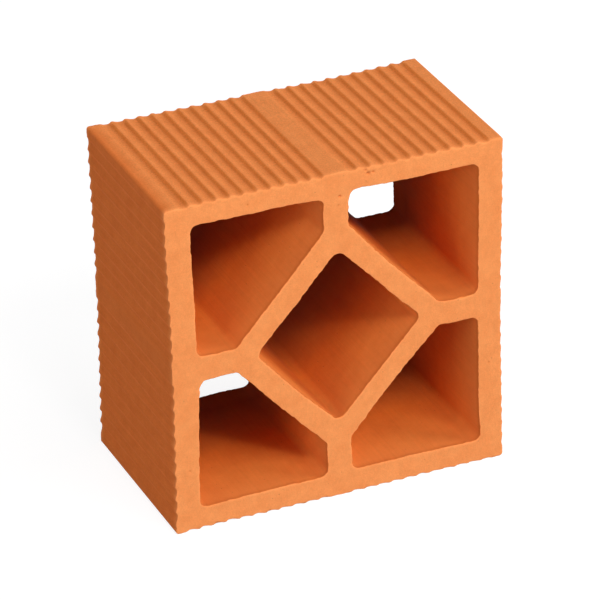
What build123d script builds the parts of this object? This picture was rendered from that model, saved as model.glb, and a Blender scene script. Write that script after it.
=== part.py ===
"""Ceramic breeze block: one length of extruded clay, cut square to its axis and fired.

Units are millimetres. The openings run along Y, from the front face (-Y) to the back
face (+Y). Z is up, and the origin is the middle of the underside.
"""

import os
from math import atan2, degrees, pi, sin

from build123d import *

# Block
block_size = 200.0
block_depth = 112.0
block_corner_radius = 2.5

# Walls: left and right, top and bottom, the four webs, and round the diamond
side_wall = 15.0
bed_wall = 13.0
web = 15.0
diamond_wall = 13.5

# The webs run from the side walls and the bed walls to the diamond's sharp outer corners
side_web_length = 17.0
bed_web_length = 13.0

# Corners of the openings
diamond_corner_radius = 5.0
corner_opening_radius = 4.5

# Grooves of the outer sides, in two rows beside a plain middle band
groove_pitch = 8.0
groove_depth = 1.1
steep_flank_width = 2.5
ridge_width = 2.4
middle_band = 12.0
corner_band = 6.0

half_size = block_size / 2
inner_width = block_size - 2 * side_wall
inner_height = block_size - 2 * bed_wall

# A groove has a steep flank and a gentle one. The two flanks' upper arcs make a ridge.
gentle_flank_width = groove_pitch - steep_flank_width
ridge_share = ridge_width / groove_pitch

# The row takes as many grooves as leave the corner its plain band
groove_room = half_size - middle_band / 2 - corner_band
groove_count = int(groove_room / groove_pitch + 1e-6)
spare_room = groove_room - groove_count * groove_pitch
corner_flat = corner_band + spare_room - block_corner_radius


def straight(line, length):
    """Carry on straight from the end of a line."""
    return PolarLine(line @ 1, length, direction=line % 1)


def turn(line, radius, angle):
    """Carry on from the end of a line along an arc, to the left for a positive angle."""
    return JernArc(line @ 1, line % 1, radius, degrees(angle))


def flank_arcs(width):
    """Angle, ridge radius and floor radius of the two tangent arcs from a crest to a floor."""
    angle = 2 * atan2(groove_depth, width)
    both_radii = width / sin(angle)
    return angle, both_radii * ridge_share, both_radii * (1 - ridge_share)


def groove_row(line):
    """Carry on from the end of a line along a row of grooves, from crest to crest."""
    steep_angle, steep_ridge, steep_floor = flank_arcs(steep_flank_width)
    gentle_angle, gentle_ridge, gentle_floor = flank_arcs(gentle_flank_width)
    for _ in range(groove_count):
        line = turn(line, steep_ridge, steep_angle)
        line = turn(line, steep_floor, -steep_angle)
        line = turn(line, gentle_floor, -gentle_angle)
        line = turn(line, gentle_ridge, gentle_angle)
    return line


# The diamond and its wall fill what the webs leave between the block's walls
diamond_half_width = inner_width / 2 - side_web_length
diamond_half_height = inner_height / 2 - bed_web_length
with BuildSketch() as diamond:
    with BuildLine():
        Polyline(
            (diamond_half_width, 0),
            (0, diamond_half_height),
            (-diamond_half_width, 0),
            (0, -diamond_half_height),
            close=True,
        )
    make_face()

with BuildSketch() as diamond_opening:
    offset(diamond.sketch, -diamond_wall, kind=Kind.INTERSECTION)
    fillet(diamond_opening.vertices(), diamond_corner_radius)

# The corner openings are what the webs and the diamond leave of the inside
with BuildSketch() as corner_openings:
    Rectangle(inner_width, inner_height)
    Rectangle(web, inner_height, mode=Mode.SUBTRACT)
    Rectangle(inner_width, web, mode=Mode.SUBTRACT)
    add(diamond.sketch, mode=Mode.SUBTRACT)
    fillet(corner_openings.vertices(), corner_opening_radius)

# The section stands upright halfway along the block's depth, and faces the front
section_plane = Plane(origin=(0, 0, half_size), x_dir=(1, 0, 0), z_dir=(0, -1, 0))

with BuildPart() as breeze_block:
    with BuildSketch(section_plane):
        # The outline is walked anticlockwise from the middle band of the underside, so
        # that every groove starts with its steep flank
        with BuildLine():
            line = Line((-middle_band / 2, -half_size), (middle_band / 2, -half_size))
            for side in range(4):
                line = groove_row(line)
                line = straight(line, corner_flat)
                line = turn(line, block_corner_radius, pi / 2)
                line = straight(line, corner_flat)
                line = groove_row(line)
                if side < 3:
                    line = straight(line, middle_band)
        make_face()
        add(corner_openings.sketch, mode=Mode.SUBTRACT)
        add(diamond_opening.sketch, mode=Mode.SUBTRACT)
    extrude(amount=block_depth / 2, both=True)

breeze_block.part.label = "breeze_block"

os.makedirs("parts", exist_ok=True)
export_step(breeze_block.part, "parts/breeze_block.step")
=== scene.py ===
"""A fired clay screen block: its mesh, its clay, and a pale studio like the photograph's.

Lengths are in millimetres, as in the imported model, and turn into metres where Blender
takes them. The section lies in X and Z. The openings run along Y, from the front face.
"""

import math

import bmesh
import bpy
import numpy as np
from mathutils import Matrix, Vector, geometry, noise


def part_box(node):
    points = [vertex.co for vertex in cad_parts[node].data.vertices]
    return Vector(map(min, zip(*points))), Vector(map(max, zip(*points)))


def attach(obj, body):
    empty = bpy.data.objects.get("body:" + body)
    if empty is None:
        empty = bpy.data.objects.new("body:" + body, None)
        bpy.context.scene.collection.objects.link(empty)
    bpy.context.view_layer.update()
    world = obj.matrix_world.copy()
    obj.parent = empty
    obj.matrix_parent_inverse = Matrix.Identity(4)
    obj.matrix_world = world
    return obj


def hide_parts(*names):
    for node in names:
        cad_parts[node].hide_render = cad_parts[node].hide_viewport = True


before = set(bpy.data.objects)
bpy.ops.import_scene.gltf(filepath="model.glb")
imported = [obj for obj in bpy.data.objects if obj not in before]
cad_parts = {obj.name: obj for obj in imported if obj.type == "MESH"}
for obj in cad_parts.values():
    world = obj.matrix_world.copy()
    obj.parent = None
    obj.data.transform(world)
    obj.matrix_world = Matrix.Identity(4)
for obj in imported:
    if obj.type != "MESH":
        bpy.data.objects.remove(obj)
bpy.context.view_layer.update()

MM = 0.001
NODE = "breeze_block"

# Block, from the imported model's box
low, high = (np.array(corner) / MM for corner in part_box(NODE))
HALF, HALF_DEPTH, _ = (high - low) / 2
DEPTH = 2 * HALF_DEPTH
MIDDLE_HEIGHT = (high[2] + low[2]) / 2

# Walls, webs and openings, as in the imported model
SIDE_WALL = 15.0
BED_WALL = 13.0
WEB = 15.0
DIAMOND_WALL = 13.5
SIDE_WEB_LENGTH = 17.0
BED_WEB_LENGTH = 13.0
DIAMOND_CORNER_RADIUS = 5.0
OPENING_CORNER_RADIUS = 4.5

# Grooves of the outer sides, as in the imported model
GROOVE_PITCH = 8.0
GROOVE_DEPTH = 1.1
STEEP_FLANK_WIDTH = 2.5
RIDGE_WIDTH = 2.4
MIDDLE_BAND = 12.0
GROOVES_IN_ROW = 11

# The sides in the order in which the outline is walked, anticlockwise from the front. The
# die left each with its own depth of groove, here as shares at the start and at the end,
# and its own radius at the corner that ends it.
SIDES = ("underside", "right", "top", "left")
DEPTH_SHARES = {
    "underside": (0.9, 0.45),
    "right": (0.45, 0.4),
    "top": (0.95, 1.0),
    "left": (0.7, 0.9),
}
CORNER_RADII = {"underside": 2.0, "right": 1.2, "top": 1.6, "left": 1.6}

# How far the grooves of the top lie off their even pitch, from its right end to its left
TOP_DRIFT_PLACES = (-93.0, -13.0, 7.0, 24.0, 87.0)
TOP_DRIFTS = (1.8, 1.0, 0.6, -0.2, -1.05)

# How far the left side's painted shade, its darker and redder colour, reaches over the corner and
# across the top
LEFT_SHADE_REACH = 8.0

# How much of its width the clay kept as it dried
WIDTH_KEPT = 0.995

# How the soft clay settled before it was fired: a place in the section, how far the clay
# moved there along X and Z, over what reach along and across a line, that line's tilt in
# degrees, and how much of it front and back show
SETTLING = (
    ((-94, 0), (1.2, 0.0), (30, 40), 0, 1.0, 1.0),
    ((104, 0), (-1.4, 0.0), (9, 40), 0, 1.0, 1.0),
    ((45, 104), (0.0, -0.7), (24, 10), 0, 0.0, 1.0),
    ((0, 104), (0.0, -0.9), (80, 10), 0, 0.0, 1.0),
    ((-101, 101), (0.3, -1.3), (9, 6), 0, 1.0, 0.0),
    ((-100, -75), (0.4, 0.0), (8, 30), 0, 1.0, 0.0),
    ((-100, 80), (-0.5, 0.0), (8, 20), 0, 1.0, 0.0),
    ((-70, -104), (0.0, 0.5), (14, 8), 0, 1.0, 0.0),
    ((101, 96), (-0.4, -0.3), (8, 10), 0, 1.0, 0.2),
    ((14, 74), (0.0, 1.4), (9, 14), 0, 1.0, 0.3),
    ((-48, 87), (0.0, -0.45), (26, 4.5), 0, 1.0, 0.3),
    ((48, 87), (0.0, -0.2), (26, 4.5), 0, 1.0, 0.3),
    ((-83, -12), (0.8, -0.5), (5, 5), 0, 1.0, 0.3),
    ((-14, 87), (0.0, -0.9), (9, 7), 0, 1.0, 0.3),
    ((0, 75), (-0.45, 0.0), (10, 9), 0, 1.0, 0.3),
    ((-24, 27), (0.4, -0.4), (14, 14), 0, 1.0, 0.3),
    ((-26, -29), (-0.3, -0.4), (14, 14), 0, 1.0, 0.3),
    ((48, 1), (0.4, 1.3), (10, 10), 0, 1.0, 0.3),
    ((0, -51), (0.0, 0.5), (9, 9), 0, 1.0, 0.3),
    ((68, -8), (0.0, -0.7), (12, 7), 0, 1.0, 0.3),
    ((82, -84), (1.0, 0.0), (8, 11), 0, 1.0, 0.3),
    ((34, 37), (-0.75, -0.7), (34, 6.5), -47, 1.0, 0.3),
    ((30, -41), (-1.7, 1.55), (34, 11), 47, 1.0, 0.3),
    ((-25, -27), (-0.25, -0.2), (26, 5.5), -47, 1.0, 0.3),
    ((-8, 46), (0.45, -0.4), (12, 5), 47, 1.0, 0.3),
    ((2, 54), (0.0, -0.6), (7, 5), 0, 1.0, 0.3),
    ((24, 28), (0.3, 0.3), (10, 5), -47, 1.0, 0.3),
    ((74, 8), (0.0, -0.9), (14, 5.5), 0, 1.0, 1.0),
    ((-72, 8), (0.0, -0.45), (14, 5.5), 0, 1.0, 0.3),
    ((40, -87), (0.0, 1.35), (30, 4.5), 0, 1.0, 0.3),
    ((-45, -87), (0.0, 1.1), (28, 4.5), 0, 1.0, 0.0),
    ((-22, -87), (0.0, 1.5), (22, 6), 0, 0.0, 1.0),
    ((-85, -20), (0.4, 0.0), (5, 14), 0, 1.0, 0.3),
    ((-85, 78), (-0.45, 0.0), (5, 14), 0, 1.0, 0.3),
    ((85, 14), (0.5, 0.0), (5, 12), 0, 0.0, 1.0),
)

# Mesh: the steps along the outline and the openings, the pieces of an outer corner, the
# fewest of an opening's, and the depths of a wall's rings behind its cut edge
OUTER_STEP = 0.5
OPENING_STEP = 0.9
OUTER_CORNER_PIECES = 4
LEAST_CORNER_PIECES = 4
RING_DEPTHS = (0.5, 1.3, 2.6, 4.6, 8.0, 14.0, 24.0, 38.0)

# Points of the cut faces: their step, as shares of it how far they are shaken out of their
# rows and how far they stay clear of the pits' own points and of the loops, and how near
# two of them count as one
FACE_STEP = 1.3
FACE_SHAKE = 0.2
PIT_CLEARANCE = 0.4
LOOP_CLEARANCE = 0.5
SAME_PLACE = 1e-7

# Cut edges: their worn radius, the least share of it anywhere, the steps round it, and how
# far along the wall the edge's waver reaches
EDGE_RADIUS = 0.25
LEAST_EDGE_SHARE = 0.3
EDGE_RINGS = 3
EDGE_REACH = 1.6

# How far the wire drew the top's front edge down, and how far back that reaches
LIP_DROP = 0.45
LIP_REACH = 1.3

# Noises of the relief, each a height and the size of its bumps: the level and the waves of
# the cut faces, the radius of the cut edges in shares, their waver, and the walls
FACE_LEVEL = 0.22
FACE_WAVES = ((0.12, 34), (0.07, 7), (0.035, 2.2))
EDGE_RAGGEDNESS = ((0.5, 3.5), (0.4, 1.4))
EDGE_WAVER = ((0.30, 4.5), (0.34, 1.9))
WALL_RELIEF = ((0.05, (1.7, 30, 1.7)), (0.08, (6, 70, 6)), (0.16, 26), (0.04, (3, 6, 3)))

# How far in the faces' waves reach, and how much of the walls' relief the outer sides have
FACE_WAVES_REACH = 15.0
OUTER_RELIEF_SHARE = 0.6

# Small chips all along the cut edges: depth, size, and the noise's level where they start
SMALL_CHIP_DEPTH = 1.8
SMALL_CHIP_SIZE = 9
SMALL_CHIP_START = 0.45

# Chips of the front edges: a place in the section, a width and a depth. The bump that
# makes a chip has half its width as its reach, and a pit's has half its radius.
CHIPS = (
    ((43, -24.7), 2.2, 1.3),
    ((75, 7.5), 2.0, 1.0),
    ((50, -100), 2.4, 1.1),
    ((-100, 34), 2.6, 0.9),
    ((-30, 99), 1.8, 0.6),
)

# Pits of the front face: a place in the section, a radius and a depth
PITS = (
    ((18.9, 95.0), 1.3, 0.9),
    ((21.8, 95.4), 0.9, 0.7),
    ((17.3, 97.4), 0.8, 0.5),
    ((2.3, 85.1), 1.0, 0.9),
    ((1.5, 80.0), 0.7, 0.3),
    ((-52.0, 92.5), 0.7, 0.3),
    ((91.5, -38.0), 0.8, 0.35),
    ((-91.0, -62.0), 0.8, 0.35),
)

# The rings of points round a pit: how many, how many points the first has, and as shares of the
# pit's radius how far they and its painted shade reach
PIT_RINGS = 4
FIRST_RING_POINTS = 6
PIT_RINGS_REACH = 1.2
PIT_SHADE_REACH = 0.6

# Seeds: each loop has its own hundred, to which its back end and its noises add theirs, and
# the cut faces have seeds of their own. A seed shifts a noise by up to NOISE_SHIFT bumps.
LOOP_SEEDS = 100
BACK_END_SEED = 40
CHIPS_SEED = 2
WAVER_SEED = 5
WALL_SEED = 80
FRONT_FACE_SEED = 700
BACK_FACE_SEED = 740
FACE_POINTS_SEED = 5
NOISE_SHIFT = 90

# Masks that the mesh gives its clay, those of the outline among them
OUTLINE_MASKS = ("groove", "flank", "left")
MASKS = ("cut", "rim", "edge", "opening", "deep", *OUTLINE_MASKS, "pit")

# How fast the cut's paler clay fades round a cut edge, and the margins of the walls behind
# it, by ring: how dark an opening's is, and how pale the outer sides' is
CUT_FADE = 1.5
DARK_MARGIN = {0: 0.8, 1: 0.9, 2: 0.7, 3: 0.2}
PALE_MARGIN = {0: 0.8, 1: 0.7, 2: 0.45, 3: 0.2}

# Clay, as linear colours: the cut faces, and what the other surfaces make of that colour
PALE_CLAY = (0.955, 0.330, 0.103)
DEEP_CLAY = (0.905, 0.292, 0.087)
SKIN_TINT = (0.97, 0.91, 0.83)
# Painted shade: the left side darker and redder
LEFT_SHADE_TINT = (0.905, 0.69, 0.51)
# Painted shade in the grooves of the sides other than the left
GROOVE_SHADE_TINT = (0.94, 0.88, 0.80)
# Painted shade on the steep flanks of the sides other than the left
FLANK_SHADE_TINT = (0.90, 0.80, 0.60)
# Painted light on the left side's steep flanks, lifting their shade
LEFT_FLANK_LIGHT_TINT = (1.09, 1.09, 1.07)
# Painted shade on the walls of the openings
OPENING_SHADE_TINT = (0.95, 0.84, 0.60)
EDGE_TINT = (0.82, 0.74, 0.64)
# Painted highlight on the rounded cut edges
RIM_HIGHLIGHT_TINT = (1.08, 1.08, 1.10)
# Painted shade in the pits of the front face
PIT_SHADE_TINT = (0.82, 0.68, 0.56)

# Painted shade in the openings: what the depth in an opening makes of its colour, from the front
# face to the back face
DEPTH_SHADE_TINTS = {
    0.0: (0.85, 0.79, 0.78),
    0.2: (0.95, 0.86, 0.70),
    0.45: (0.94, 0.68, 0.37),
    0.85: (0.52, 0.25, 0.13),
    1.0: (0.62, 0.30, 0.14),
}

# Noises of the clay's colour and gloss, and the part of a noise's values that is used
MOTTLE = {"sizes": 9.0, "detail": 3.0}
STREAKS = {"sizes": (1.6, 60.0, 1.6), "detail": 3.0, "rough": 0.6}
SPECKLE = {"sizes": 2.6, "detail": 3.0, "rough": 0.6}
GRAIN = {"sizes": 0.9, "detail": 4.0, "rough": 0.65}
GLOSS = {"sizes": 2.0, "detail": 3.0}
NOISE_RANGE = (0.25, 0.75)
MOTTLE_RANGE = (0.3, 0.7)
UNEVEN_RANGE = (0.33, 0.67)

# How much lighter and darker they make the clay: streaks on the skin, speckle on the skin
# and on the cuts, grain outside and inside the openings, and more grain on the outer sides
# apart from the left one
STREAK_AMOUNT = 0.04
SPECKLE_AMOUNTS = (0.012, 0.035)
GRAIN_AMOUNTS = (0.05, 0.02)
MORE_GRAIN = 0.07

# Pores and pale crumbs: spacing, radius and the share of places that have one, then what they make
# of the colour: painted shade in the pores, paler clay in the crumbs
PORES = {"spacing": 4.2, "radius": 0.45, "share": 0.22}
CRUMBS = {"spacing": 2.6, "radius": 0.33, "share": 0.3}
PORE_FLOOR_SHARE = 0.3
PORE_SHADE = 0.72
CRUMB_LIGHT = 1.12

# Fine relief of the clay: a height, and a noise's sizes, detail and roughness
FINE_RELIEF = {
    "drag": (0.13, (9.0, 3.0, 0.6), 3.0, 0.6),
    "torn": (0.20, 1.5, 5.0, 0.6),
    "streaks": (0.10, (0.7, 40.0, 0.7), 4.0, 0.6),
    "grain": (0.07, 0.5, 4.0, 0.6),
}
PORE_DEPTH = 0.2
ROUGHNESS = (0.86, 0.98)
SPECULAR = 0.12

# Softboxes: azimuth, elevation, width and height in metres, and level, where 1 shows a
# colour as written
SOFTBOXES = {
    "key": (11, 44, 2.5, 1.1, 0.48),
    "hard_key": (1, 42, 0.35, 0.3, 0.155),
    "side": (64, 20, 2.0, 1.25, 0.50),
    "high_side": (80, 56, 1.25, 1.25, 0.15),
    "left_fill": (-68, 8, 3.25, 2.75, 0.52),
    "low_front": (-20, 14, 2.0, 1.25, 0.11),
}
SOFTBOX_DISTANCE = 4.5

# The light from straight behind: its level, and how wide it looks in degrees
BACK_LEVEL = 0.45
BACK_ANGLE = 2.0

# Floor: its half width in metres, its grey, and how brightly it is seen
FLOOR_REACH = 6.0
FLOOR_COLOUR = 0.2
FLOOR_ROUGHNESS = 0.9
FLOOR_GLOW = 0.90

# Camera, fitted to the photograph
VIEW_AZIMUTH = -23.295
VIEW_ELEVATION = 28.414
VIEW_ROLL = -1.247
VIEW_DISTANCE = 2365.9
AIM_RIGHT = 21.24
AIM_UP = -20.07
LENS = 260.87
SENSOR = 36.0
NEAR_CLIP, FAR_CLIP = 0.01, 100


def smooth_noise(points, size, seed):
    """Noise from about -1 to 1 at each point, with bumps about as wide as size."""
    shift = Vector(np.random.default_rng(seed).uniform(-NOISE_SHIFT, NOISE_SHIFT, 3))
    scale = 1 / np.broadcast_to(np.asarray(size, float), 3)
    return np.array([noise.noise(Vector(p * scale) + shift) for p in points])


def layered_noise(points, layers, seed):
    """The sum of noises that each have a height and a size."""
    return sum(
        height * smooth_noise(points, size, seed + k) for k, (height, size) in enumerate(layers)
    )


def turned(rows, degrees):
    """Rows of X and Z turned anticlockwise, as the front shows them."""
    angle = math.radians(degrees)
    cosine, sine = math.cos(angle), math.sin(angle)
    return rows @ np.array([[cosine, sine], [-sine, cosine]])


def bump_at(points, centre, reach, tilt=0):
    """A smooth bump of height 1 round a place of the section, with one reach or two.

    The two reaches lie along and across a line, whose tilt from X is in degrees.
    """
    return np.exp(-((turned(points - np.array(centre), -tilt) / reach) ** 2).sum(1) / 2)


# Section


def flank_drop(from_crest, width):
    """How far a flank lies below its crest: an arc over the ridge, then an arc to the floor."""
    ridge_share = RIDGE_WIDTH / GROOVE_PITCH
    angle = 2 * math.atan2(GROOVE_DEPTH, width)
    both_radii = width / math.sin(angle)
    ridge_radius = both_radii * ridge_share
    floor_radius = both_radii - ridge_radius
    on_ridge = np.clip(from_crest, 0, ridge_share * width)
    to_floor = np.clip(width - from_crest, 0, (1 - ridge_share) * width)
    ridge = ridge_radius - np.sqrt(ridge_radius**2 - on_ridge**2)
    floor = GROOVE_DEPTH - floor_radius + np.sqrt(floor_radius**2 - to_floor**2)
    return np.where(from_crest < ridge_share * width, ridge, floor)


def groove_drop(along):
    """How far a side lies below its crests. Each groove starts with its steep flank."""
    row = GROOVES_IN_ROW * GROOVE_PITCH
    into_row = along - np.where(along > 0, MIDDLE_BAND / 2, -MIDDLE_BAND / 2 - row)
    from_crest = into_row % GROOVE_PITCH
    steep = flank_drop(from_crest, STEEP_FLANK_WIDTH)
    gentle = flank_drop(GROOVE_PITCH - from_crest, GROOVE_PITCH - STEEP_FLANK_WIDTH)
    drop = np.where(from_crest < STEEP_FLANK_WIDTH, steep, gentle)
    return np.where((into_row > 0) & (into_row < row), drop, 0.0)


def outer_side(side, start_radius):
    """A side of the outline and the corner that ends it, lying as the underside does."""
    end_radius = CORNER_RADII[side]
    first, last = start_radius - HALF, HALF - end_radius
    along = np.linspace(first, last, round((last - first) / OUTER_STEP) + 1)
    drift = np.interp(along, TOP_DRIFT_PLACES, TOP_DRIFTS) if side == "top" else 0.0
    drop = groove_drop(along - drift) * np.interp(along, (-HALF, HALF), DEPTH_SHARES[side])
    bend = np.linspace(-math.pi / 2, 0, OUTER_CORNER_PIECES + 1)[1:-1]
    corner = np.column_stack([np.cos(bend), np.sin(bend)])
    grooved = np.column_stack([along, drop - HALF])
    points = np.vstack([grooved, np.array([last, -last]) + end_radius * corner])
    out = np.vstack([np.tile((0.0, -1.0), (len(along), 1)), corner])
    return points, out, side_masks(side, along, drop, points)


def side_masks(side, along, drop, points):
    """The outline masks of a side and its corner, in the order of OUTLINE_MASKS."""
    on_corner = np.zeros(len(points) - len(along))
    steepness = np.gradient(drop, along) / (GROOVE_DEPTH / STEEP_FLANK_WIDTH)
    groove = np.append(drop / GROOVE_DEPTH, on_corner)
    flank = np.append(np.clip(steepness, 0, 1), on_corner)
    # How much of the left side's painted shade a point takes, fading across the top's left end
    left = np.full(len(points), float(side == "left"))
    if side == "top":
        left = np.clip(1 - (HALF - points[:, 0]) / LEFT_SHADE_REACH, 0, 1)
    return np.column_stack([groove, flank, left])


def outer_outline():
    """The grooved outline: its points, their directions out of the clay, and its masks.

    The masks say how deep in a groove a point lies, how much it is on a steep flank, and how much
    of the left side's painted shade it takes.
    """
    parts = []
    for quarter, side in enumerate(SIDES):
        points, out, masks = outer_side(side, CORNER_RADII[SIDES[quarter - 1]])
        parts.append((turned(points, 90 * quarter), turned(out, 90 * quarter), masks))
    return tuple(np.vstack(rows) for rows in zip(*parts))


def rounded_loop(corners, radius):
    """Points round a polygon with rounded corners, anticlockwise."""
    corners = [Vector(c) for c in corners]
    neighbours = zip(corners[-1:] + corners[:-1], corners, corners[1:] + corners[:1])
    bends = []
    for before, corner, after in neighbours:
        back = (before - corner).normalized()
        ahead = (after - corner).normalized()
        half = back.angle(ahead) / 2
        centre = corner + (back + ahead).normalized() * radius / math.sin(half)
        arm = corner + back * radius / math.tan(half) - centre
        sweep = math.pi - 2 * half
        steps = max(LEAST_CORNER_PIECES, round(sweep * radius / OPENING_STEP))
        bends += [centre + Matrix.Rotation(sweep * k / steps, 2) @ arm for k in range(steps + 1)]
    points = []
    for start, end in zip(bends, bends[1:] + bends[:1]):
        pieces = max(1, round((end - start).length / OPENING_STEP))
        points += [start.lerp(end, k / pieces) for k in range(pieces)]
    return np.array(points)


def opening_loops():
    """The diamond, then the corner openings, as what the walls and webs leave."""
    inner_x = HALF - SIDE_WALL
    inner_z = HALF - BED_WALL
    ring_x = inner_x - SIDE_WEB_LENGTH
    ring_z = inner_z - BED_WEB_LENGTH
    shrink = 1 - DIAMOND_WALL * math.hypot(ring_x, ring_z) / (ring_x * ring_z)
    hole_x, hole_z = ring_x * shrink, ring_z * shrink
    near = WEB / 2
    corner = [
        (near, ring_z * (1 - near / ring_x)),
        (ring_x * (1 - near / ring_z), near),
        (inner_x, near),
        (inner_x, inner_z),
        (near, inner_z),
    ]
    diamond = [(hole_x, 0), (0, hole_z), (-hole_x, 0), (0, -hole_z)]
    loops = [rounded_loop(diamond, DIAMOND_CORNER_RADIUS)]
    for flip_x, flip_z in ((1, 1), (-1, 1), (-1, -1), (1, -1)):
        flipped = [(x * flip_x, z * flip_z) for x, z in corner]
        if flip_x * flip_z < 0:
            flipped.reverse()
        loops.append(rounded_loop(flipped, OPENING_CORNER_RADIUS))
    return loops


def into_opening(loop):
    """Each point's direction out of the clay, into the opening that the loop goes round."""
    along = np.roll(loop, -1, 0) - np.roll(loop, 1, 0)
    along /= np.linalg.norm(along, axis=1)[:, None]
    return np.column_stack([-along[:, 1], along[:, 0]])


# Relief


def place(section, depth):
    """Points of the section, at a depth behind the front face."""
    y = np.broadcast_to(depth, len(section)) - HALF_DEPTH
    return np.column_stack([section[:, 0], y, section[:, 1]])


def share_of_depth(points):
    """How far back each point lies, from 0 at the front face to 1 at the back face."""
    return (points[:, 1] + HALF_DEPTH) / DEPTH


def face_relief(section, front):
    """How far a cut face lies behind its highest points."""
    seed = FRONT_FACE_SEED if front else BACK_FACE_SEED
    relief = FACE_LEVEL + layered_noise(place(section, 0.0), FACE_WAVES, seed)
    if front:
        for centre, radius, depth in PITS:
            relief += depth * bump_at(section, centre, radius / 2)
    return np.maximum(relief, 0.0)


def pit_share(section):
    """How much of a pit's painted shade each point of the front face takes, from 0 to 1."""
    pit_shades = [bump_at(section, centre, PIT_SHADE_REACH * radius) for centre, radius, _ in PITS]
    return np.max(pit_shades, axis=0)


def edge_radius(loop, front, seed):
    """The worn radius of a cut edge."""
    points = place(loop, 0.0)
    ragged = 1 + layered_noise(points, EDGE_RAGGEDNESS, seed)
    chipped = smooth_noise(points, SMALL_CHIP_SIZE, seed + CHIPS_SEED) - SMALL_CHIP_START
    chips = SMALL_CHIP_DEPTH * np.clip(chipped, 0, 1)
    if front:
        for centre, width, depth in CHIPS:
            chips += depth * bump_at(loop, centre, width / 2)
    return EDGE_RADIUS * np.maximum(ragged, LEAST_EDGE_SHARE) + chips


def lip(out, depth):
    """How far the wire drew the top's front edge down, at a depth behind the front face."""
    on_top = np.clip(out[:, 1], 0, 1)
    return LIP_DROP * on_top * np.exp(-depth / LIP_REACH)


def settle(points):
    """Move points as the soft clay settled, but not out of the block's box."""
    section = points[:, [0, 2]]
    behind = share_of_depth(points)
    moved = points * np.array([WIDTH_KEPT, 1, 1])
    for centre, shift, reach, tilt, at_front, at_back in SETTLING:
        share = bump_at(section, centre, reach, tilt) * (at_front + (at_back - at_front) * behind)
        moved[:, 0] += shift[0] * share
        moved[:, 2] += shift[1] * share
    limits = np.array([HALF, HALF_DEPTH, HALF])
    return np.clip(moved, -limits, limits)


def end_rings(loop, front, seed):
    """A wall's rings from one cut edge inwards, as offsets from the loop and depths."""
    radius = edge_radius(loop, front, seed)
    face = face_relief(loop, front)
    waver = layered_noise(place(loop, 0.0), EDGE_WAVER, seed + WAVER_SEED)
    rings = []
    for k in range(EDGE_RINGS + 1):
        turn = math.pi / 2 * k / EDGE_RINGS
        rings.append((waver - radius * (1 - math.sin(turn)), face + radius * (1 - math.cos(turn))))
    for step in RING_DEPTHS:
        fade = max(0.0, 1 - step / FACE_WAVES_REACH)
        rings.append((waver * math.exp(-step / EDGE_REACH), (face + radius) * fade + step))
    return rings


def wall_rings(loop, out, is_opening, seed):
    """Rings of points from the front edge of a loop's wall to its back edge."""
    front_rings = end_rings(loop, True, seed)
    middle = (np.zeros(len(loop)), HALF_DEPTH)
    back_rings = end_rings(loop, False, seed + BACK_END_SEED)
    back_rings = [(offset, DEPTH - depth) for offset, depth in reversed(back_rings)]
    rings = []
    for offset, depth in front_rings + [middle] + back_rings:
        offset = offset + layered_noise(place(loop, depth), WALL_RELIEF, seed + WALL_SEED)
        if not is_opening:
            offset = np.minimum(OUTER_RELIEF_SHARE * offset, 0.0) - lip(out, depth)
        rings.append(place(loop + out * offset[:, None], depth))
    return rings


# Cut faces


def inside(points, loops):
    """Whether each point is in the clay, by how often a line from it crosses the loops."""
    crossings = np.zeros(len(points), int)
    for loop in loops:
        for (x0, z0), (x1, z1) in zip(loop, np.roll(loop, -1, 0)):
            if z0 == z1:
                continue
            spans = (points[:, 1] < z0) != (points[:, 1] < z1)
            crossings += spans & (points[:, 0] < x0 + (points[:, 1] - z0) * (x1 - x0) / (z1 - z0))
    return crossings % 2 == 1


def pit_points():
    """Rings of points round the pits, close enough to show their hollows."""
    points = []
    for (x, z), radius, _ in PITS:
        points.append((x, z))
        for ring in range(1, PIT_RINGS + 1):
            reach = radius * PIT_RINGS_REACH * ring / PIT_RINGS
            count = FIRST_RING_POINTS * ring
            for k in range(count):
                angle = 2 * math.pi * k / count
                points.append((x + reach * math.cos(angle), z + reach * math.sin(angle)))
    return np.array(points)


def clear_of(points, others, gap, batch=500):
    """The points that are further than the gap from all the others, tested in batches."""
    nearest = np.full(len(points), np.inf)
    for start in range(0, len(points), batch):
        part = slice(start, start + batch)
        nearest[part] = np.sqrt(((points[part, None] - others[None]) ** 2).sum(2).min(1))
    return points[nearest > gap]


def face_points(loops, front):
    """Points spread over a cut face, clear of its loops and closer round its pits."""
    rows = np.arange(-HALF, HALF, FACE_STEP * math.sqrt(3) / 2)
    columns = np.arange(-HALF, HALF, FACE_STEP)
    points = [(x + FACE_STEP / 2 * (j % 2), z) for j, z in enumerate(rows) for x in columns]
    points = np.array(points)
    shake = np.random.default_rng(FACE_POINTS_SEED + front)
    points += shake.uniform(-FACE_SHAKE, FACE_SHAKE, points.shape) * FACE_STEP
    if front:
        near = pit_points()
        points = np.vstack([clear_of(points, near, FACE_STEP * PIT_CLEARANCE), near])
    points = points[inside(points, loops)]
    return clear_of(points, np.vstack(loops), FACE_STEP * LOOP_CLEARANCE)


def fill_face(edges, front):
    """A cut face between its edge loops: its own points, and triangles by index."""
    fresh = face_points(edges, front)
    lines, start = [], 0
    for edge in edges:
        count = len(edge)
        lines += [(start + i, start + (i + 1) % count) for i in range(count)]
        start += count
    points = np.vstack(edges + [fresh])
    found = geometry.delaunay_2d_cdt([Vector(p) for p in points], lines, [], 0, SAME_PLACE)
    if len(found[0]) != len(points):
        raise RuntimeError("the cut face's loops cross each other")
    triangles = np.array(found[2])
    return fresh, triangles[inside(points[triangles].mean(1), edges)]


# Block


def quad_strip(start, count, ring_count):
    """Quads between the rings of a wall whose first vertex is start."""
    here = np.arange(count)
    ahead = (here + 1) % count
    rows = start + count * np.arange(ring_count - 1)[:, None]
    corners = [rows + here, rows + ahead, rows + count + ahead, rows + count + here]
    return np.stack(corners, -1).reshape(-1, len(corners))


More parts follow.
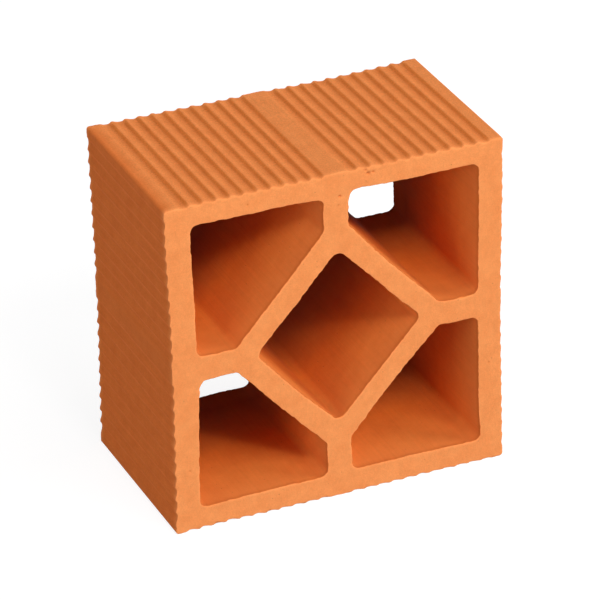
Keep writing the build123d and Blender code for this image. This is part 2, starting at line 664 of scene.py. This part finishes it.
def wall_masks(rings, outline_masks, is_opening):
    """Masks of a wall's vertices, in the order of MASKS."""
    count = len(rings[0])
    masks = []
    for index, ring in enumerate(rings):
        from_end = min(index, len(rings) - 1 - index)
        cut = max(0.0, 1 - from_end / EDGE_RINGS) ** CUT_FADE
        rim = float(from_end < EDGE_RINGS)
        edge = 0.0
        behind = from_end - EDGE_RINGS
        if is_opening:
            edge = DARK_MARGIN.get(behind, 0.0)
        else:
            cut = max(cut, PALE_MARGIN.get(behind, 0.0))
        flags = np.tile((cut, rim, edge, float(is_opening)), (count, 1))
        no_pit = np.zeros(count)
        masks.append(np.column_stack([flags, share_of_depth(ring), outline_masks, no_pit]))
    return np.vstack(masks)


def face_masks(section, front):
    """Masks of a cut face's own vertices, in the order of MASKS."""
    masks = np.zeros((len(section), len(MASKS)))
    masks[:, MASKS.index("cut")] = 1.0
    if front:
        masks[:, MASKS.index("pit")] = pit_share(section)
    return masks


def block_loops():
    """The outline and the openings: points, directions out of the clay, and outline masks."""
    loops = [outer_outline()]
    for loop in opening_loops():
        no_masks = np.zeros((len(loop), len(OUTLINE_MASKS)))
        loops.append((loop, into_opening(loop), no_masks))
    return loops


def block_parts():
    """Vertices, masks and faces of the whole block: its walls, then its two cut faces."""
    walls, starts, points, masks, faces = [], [], [], [], []
    total = 0
    for index, (loop, out, outline_masks) in enumerate(block_loops()):
        is_opening = index > 0
        rings = wall_rings(loop, out, is_opening, LOOP_SEEDS * index)
        walls.append(rings)
        starts.append(total)
        points += rings
        masks.append(wall_masks(rings, outline_masks, is_opening))
        faces += quad_strip(total, len(loop), len(rings)).tolist()
        total += len(rings) * len(loop)
    for front in (True, False):
        ring = 0 if front else len(walls[0]) - 1
        edges = [rings[ring][:, [0, 2]] for rings in walls]
        fresh, triangles = fill_face(edges, front)
        relief = face_relief(fresh, front)
        points.append(place(fresh, relief if front else DEPTH - relief))
        masks.append(face_masks(fresh, front))
        # The face's points are the walls' end rings, then its own
        numbers = [
            start + ring * len(edge) + np.arange(len(edge)) for start, edge in zip(starts, edges)
        ]
        numbers.append(total + np.arange(len(fresh)))
        faces += np.concatenate(numbers)[triangles].tolist()
        total += len(fresh)
    return np.vstack(points), np.vstack(masks), faces


def block_mesh():
    """The whole block as one mesh, settled, with its masks."""
    points, masks, faces = block_parts()
    points = settle(points) + np.array([0, 0, MIDDLE_HEIGHT])
    mesh = bpy.data.meshes.new("fired_block")
    mesh.from_pydata((points * MM).tolist(), [], faces)
    for column, name in enumerate(MASKS):
        mask = mesh.attributes.new(name, "FLOAT", "POINT")
        mask.data.foreach_set("value", masks[:, column].astype(np.float32))
    return mesh


def block_object():
    """The block, smooth and closed, with its faces turned outwards."""
    mesh = block_mesh()
    work = bmesh.new()
    work.from_mesh(mesh)
    bmesh.ops.recalc_face_normals(work, faces=work.faces)
    if not all(edge.is_manifold for edge in work.edges):
        raise RuntimeError("the block isn't closed")
    work.to_mesh(mesh)
    work.free()
    mesh.polygons.foreach_set("use_smooth", [True] * len(mesh.polygons))
    block = bpy.data.objects.new("fired_block", mesh)
    bpy.context.scene.collection.objects.link(block)
    return block


# Clay


def add_node(tree, kind, inputs, **settings):
    """A shader node with its settings, and its inputs as values or as links from other nodes."""
    made = tree.nodes.new("ShaderNode" + kind)
    for name, value in settings.items():
        setattr(made, name, value)
    for key, value in inputs.items():
        if isinstance(value, bpy.types.NodeSocket):
            tree.links.new(value, made.inputs[key])
        else:
            made.inputs[key].default_value = value
    return made


def mask_value(tree, name):
    """The mesh's mask of that name."""
    return add_node(tree, "Attribute", {}, attribute_name=name).outputs["Fac"]


def stretched(tree, sizes):
    """Object coordinates in which features have the given sizes in millimetres."""
    coords = add_node(tree, "TexCoord", {}).outputs["Object"]
    scale = tuple(1 / (size * MM) for size in sizes)
    return add_node(tree, "VectorMath", {0: coords, 1: scale}, operation="MULTIPLY").outputs[0]


def noise_value(tree, sizes, detail, rough=0.5):
    """Noise about 0.5 with features of the given size in millimetres, or size along each axis."""
    sizes = (sizes,) * 3 if isinstance(sizes, float) else sizes
    inputs = {
        "Vector": stretched(tree, sizes),
        "Scale": 1.0,
        "Detail": detail,
        "Roughness": rough,
    }
    return add_node(tree, "TexNoise", inputs).outputs["Fac"]


def spread(tree, value, start, end, value_range=(0.0, 1.0)):
    """What goes from start to end while the value goes through its range."""
    inputs = {
        "Value": value,
        "From Min": value_range[0],
        "From Max": value_range[1],
        "To Min": start,
        "To Max": end,
    }
    return add_node(tree, "MapRange", inputs).outputs["Result"]


def maths(tree, operation, a, b):
    """What a maths operation makes of two values."""
    return add_node(tree, "Math", {0: a, 1: b}, operation=operation).outputs[0]


def both(tree, mask, name):
    """Where a mask and the mesh's mask of that name hold together."""
    return maths(tree, "MULTIPLY", mask, mask_value(tree, name))


def mixed(tree, factor, a, b, blend="MIX"):
    """Two colours mixed or blended. The colours of a Mix node are inputs 6 and 7, output 2."""
    inputs = {0: factor, 6: a, 7: b}
    return add_node(tree, "Mix", inputs, data_type="RGBA", blend_type=blend).outputs[2]


def tinted(tree, colour, tint, factor):
    """A colour multiplied by a tint, as much as the factor says."""
    return mixed(tree, factor, colour, (*tint, 1), "MULTIPLY")


def depth_shade_tint(tree):
    """The painted shade of a point's depth behind the front face, as a tint."""
    ramp = add_node(tree, "ValToRGB", {"Fac": mask_value(tree, "deep")})
    stops = ramp.color_ramp.elements
    stops[0].color = (*DEPTH_SHADE_TINTS[0.0], 1)
    stops[1].color = (*DEPTH_SHADE_TINTS[1.0], 1)
    for depth, tint in DEPTH_SHADE_TINTS.items():
        if 0 < depth < 1:
            stops.new(depth).color = (*tint, 1)
    return ramp.outputs["Color"]


def scaled(tree, colour, value):
    """A colour times a value."""
    inputs = {0: colour, "Scale": value}
    return add_node(tree, "VectorMath", inputs, operation="SCALE").outputs[0]


def uneven(tree, colour, value, amount):
    """A colour made lighter and darker by a noise value, by up to the amount either way."""
    darkest = maths(tree, "SUBTRACT", 1.0, amount)
    lightest = maths(tree, "ADD", 1.0, amount)
    return scaled(tree, colour, spread(tree, value, darkest, lightest, UNEVEN_RANGE))


def pores(tree, spacing, radius, share):
    """1 in small round pores, 0 elsewhere. Only that share of the cells has a pore."""
    inputs = {"Vector": stretched(tree, (spacing,) * 3), "Scale": 1.0}
    cells = add_node(tree, "TexVoronoi", inputs)
    random = add_node(tree, "SeparateColor", {0: cells.outputs["Color"]}).outputs[0]
    chosen = maths(tree, "LESS_THAN", random, share)
    wall = (PORE_FLOOR_SHARE * radius / spacing, radius / spacing)
    hollow = spread(tree, cells.outputs["Distance"], 1.0, 0.0, wall)
    return maths(tree, "MULTIPLY", hollow, chosen)


def clay_areas(tree):
    """How much each point is of a cut, of the skin, and of each kind of skin: the openings, the
    outer sides, the left side with its painted shade, and the other sides.
    """
    cut = mask_value(tree, "cut")
    skin = maths(tree, "SUBTRACT", 1.0, cut)
    opening = both(tree, skin, "opening")
    outer = maths(tree, "SUBTRACT", skin, opening)
    left = both(tree, outer, "left")
    others = maths(tree, "SUBTRACT", outer, left)
    return {
        "cut": cut,
        "skin": skin,
        "opening": opening,
        "outer": outer,
        "left": left,
        "others": others,
    }


def area_tinted(tree, colour, areas):
    """The clay's colour with the tints of its surfaces, among them painted shade and painted
    light.
    """
    left, others, opening = areas["left"], areas["others"], areas["opening"]
    colour = tinted(tree, colour, SKIN_TINT, areas["outer"])
    # Painted shade: the left side darker and redder
    colour = tinted(tree, colour, LEFT_SHADE_TINT, left)
    # Painted shade in the grooves
    colour = tinted(tree, colour, GROOVE_SHADE_TINT, both(tree, others, "groove"))
    # Painted shade on the steep flanks
    colour = tinted(tree, colour, FLANK_SHADE_TINT, both(tree, others, "flank"))
    # Painted light on the left side's steep flanks
    colour = tinted(tree, colour, LEFT_FLANK_LIGHT_TINT, both(tree, left, "flank"))
    # Painted shade on the opening walls
    colour = tinted(tree, colour, OPENING_SHADE_TINT, opening)
    # Painted shade by depth in the openings, darkest towards the back
    colour = mixed(tree, opening, colour, depth_shade_tint(tree), "MULTIPLY")
    colour = tinted(tree, colour, EDGE_TINT, both(tree, areas["skin"], "edge"))
    # Painted highlight on the cut edges' rims
    colour = tinted(tree, colour, RIM_HIGHLIGHT_TINT, mask_value(tree, "rim"))
    # Painted shade in the pits
    return tinted(tree, colour, PIT_SHADE_TINT, mask_value(tree, "pit"))


def grained(tree, colour, areas):
    """A colour with the clay's streaks, speckle and grain."""
    streaks = noise_value(tree, **STREAKS)
    streaks = spread(tree, streaks, 1 - STREAK_AMOUNT, 1 + STREAK_AMOUNT, NOISE_RANGE)
    colour = scaled(tree, colour, spread(tree, areas["skin"], 1.0, streaks))
    speckle = spread(tree, areas["cut"], *SPECKLE_AMOUNTS)
    colour = uneven(tree, colour, noise_value(tree, **SPECKLE), speckle)
    grain = spread(tree, areas["opening"], *GRAIN_AMOUNTS)
    more = maths(tree, "MULTIPLY", areas["others"], MORE_GRAIN)
    grain = maths(tree, "ADD", grain, more)
    return uneven(tree, colour, noise_value(tree, **GRAIN), grain)


def clay_colour(tree, pore):
    """Fired clay: mottled, finely grained, redder on the die's skin, with painted shade on the
    left side, in grooves, on flanks, in pits, in pores and in the openings, and painted light on
    the left side's flanks and on rims.
    """
    areas = clay_areas(tree)
    mottle = spread(tree, noise_value(tree, **MOTTLE), 0.0, 1.0, MOTTLE_RANGE)
    colour = mixed(tree, mottle, (*DEEP_CLAY, 1), (*PALE_CLAY, 1))
    colour = area_tinted(tree, colour, areas)
    colour = grained(tree, colour, areas)
    colour = scaled(tree, colour, spread(tree, pores(tree, **CRUMBS), 1.0, CRUMB_LIGHT))
    # Painted shade in the pores
    return scaled(tree, colour, spread(tree, pore, 1.0, PORE_SHADE))


def clay_height(tree, pore):
    """The fine relief in millimetres: drag and tears on cuts, streaks on skin, grain, pores."""
    relief = {}
    for name, (height, *settings) in FINE_RELIEF.items():
        relief[name] = maths(tree, "MULTIPLY", noise_value(tree, *settings), height)
    on_cut = maths(tree, "ADD", relief["drag"], relief["torn"])
    height = spread(tree, mask_value(tree, "cut"), relief["streaks"], on_cut)
    height = maths(tree, "ADD", height, relief["grain"])
    return maths(tree, "SUBTRACT", height, maths(tree, "MULTIPLY", pore, PORE_DEPTH))


def clay_material():
    """Matt fired clay, with its colour, roughness and fine relief."""
    material = bpy.data.materials.new("clay")
    material.use_nodes = True
    tree = material.node_tree
    shader = tree.nodes["Principled BSDF"]
    pore = pores(tree, **PORES)
    tree.links.new(clay_colour(tree, pore), shader.inputs["Base Color"])
    roughness = spread(tree, noise_value(tree, **GLOSS), *ROUGHNESS, NOISE_RANGE)
    tree.links.new(roughness, shader.inputs["Roughness"])
    shader.inputs["Specular IOR Level"].default_value = SPECULAR
    inputs = {"Strength": 1.0, "Distance": MM, "Height": clay_height(tree, pore)}
    bump = add_node(tree, "Bump", inputs)
    tree.links.new(bump.outputs["Normal"], shader.inputs["Normal"])
    return material


# Studio


def towards(azimuth, elevation):
    """The direction at an azimuth from the front and an elevation, both in degrees."""
    a, e = math.radians(azimuth), math.radians(elevation)
    return Vector((math.sin(a) * math.cos(e), -math.cos(a) * math.cos(e), math.sin(e)))


def block_middle():
    """The middle of the block, in metres."""
    return Vector((0, 0, MIDDLE_HEIGHT * MM))


def lamp_object(lamp, location):
    """An object for a lamp that points at the block's middle."""
    obj = bpy.data.objects.new(lamp.name, lamp)
    obj.location = location
    obj.rotation_mode = "QUATERNION"
    obj.rotation_quaternion = (block_middle() - obj.location).to_track_quat("-Z", "Y")
    bpy.context.scene.collection.objects.link(obj)
    return obj


def softbox(name, azimuth, elevation, width, height, level):
    """A softbox whose light shows a surface facing it at that level of its written colour."""
    lamp = bpy.data.lights.new(name, "AREA")
    lamp.shape = "RECTANGLE"
    lamp.size, lamp.size_y = width, height
    lamp.energy = level * (math.pi * SOFTBOX_DISTANCE) ** 2
    location = block_middle() + SOFTBOX_DISTANCE * towards(azimuth, elevation)
    lamp_object(lamp, location).visible_camera = False


def back_light():
    """A level light from straight behind: it shows the back face and passes the walls."""
    lamp = bpy.data.lights.new("back", "SUN")
    lamp.angle = math.radians(BACK_ANGLE)
    lamp.energy = BACK_LEVEL * math.pi
    lamp_object(lamp, block_middle() + Vector((0, SOFTBOX_DISTANCE, 0)))


def seen_directly(tree):
    """1 where the camera, a gloss or a glass sees a surface, 0 where it only lights others."""
    path = add_node(tree, "LightPath", {})
    seen = maths(tree, "MAXIMUM", path.outputs["Is Camera Ray"], path.outputs["Is Glossy Ray"])
    return maths(tree, "MAXIMUM", seen, path.outputs["Is Transmission Ray"])


def white_world():
    """A world that is white to the eye and gives no light."""
    world = bpy.data.worlds.new("studio")
    bpy.context.scene.world = world
    world.use_nodes = True
    tree = world.node_tree
    back = tree.nodes["Background"]
    back.inputs["Color"].default_value = (1, 1, 1, 1)
    tree.links.new(seen_directly(tree), back.inputs["Strength"])


def floor_material():
    """A grey that is seen as nearly white, and keeps the block's shadow."""
    material = bpy.data.materials.new("floor")
    material.use_nodes = True
    tree = material.node_tree
    shader = tree.nodes["Principled BSDF"]
    shader.inputs["Base Color"].default_value = (FLOOR_COLOUR, FLOOR_COLOUR, FLOOR_COLOUR, 1)
    shader.inputs["Roughness"].default_value = FLOOR_ROUGHNESS
    shader.inputs["Specular IOR Level"].default_value = 0.0
    shader.inputs["Emission Color"].default_value = (1, 1, 1, 1)
    glow = maths(tree, "MULTIPLY", seen_directly(tree), FLOOR_GLOW)
    tree.links.new(glow, shader.inputs["Emission Strength"])
    return material


def floor_object():
    """The floor, which reaches well past what the camera sees."""
    mesh = bpy.data.meshes.new("floor")
    signs = ((-1, -1), (1, -1), (1, 1), (-1, 1))
    corners = [(FLOOR_REACH * x, FLOOR_REACH * y, 0) for x, y in signs]
    mesh.from_pydata(corners, [], [(0, 1, 2, 3)])
    mesh.materials.append(floor_material())
    floor = bpy.data.objects.new("floor", mesh)
    bpy.context.scene.collection.objects.link(floor)


def photo_camera():
    """The camera, aimed beside the middle of the front face and turned by its roll."""
    back = towards(VIEW_AZIMUTH, VIEW_ELEVATION)
    level = towards(VIEW_AZIMUTH + 90, 0)
    roll = Matrix.Rotation(math.radians(VIEW_ROLL), 3, back)
    right, up = roll @ level, roll @ back.cross(level)
    front = Vector((0, -HALF_DEPTH, MIDDLE_HEIGHT))
    location = (front + back * VIEW_DISTANCE - right * AIM_RIGHT - up * AIM_UP) * MM
    camera = bpy.data.cameras.new("photo")
    camera.lens = LENS
    camera.sensor_width = SENSOR
    camera.clip_start, camera.clip_end = NEAR_CLIP, FAR_CLIP
    obj = bpy.data.objects.new("photo", camera)
    facing = Matrix((right, up, back)).transposed().to_4x4()
    obj.matrix_world = Matrix.Translation(location) @ facing
    bpy.context.scene.collection.objects.link(obj)
    bpy.context.scene.camera = obj


block = block_object()
block.data.materials.append(clay_material())
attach(block, "root")
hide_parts(NODE)

for name, settings in SOFTBOXES.items():
    softbox(name, *settings)
back_light()
white_world()
floor_object()
photo_camera()
bpy.context.scene.view_settings.view_transform = "Standard"
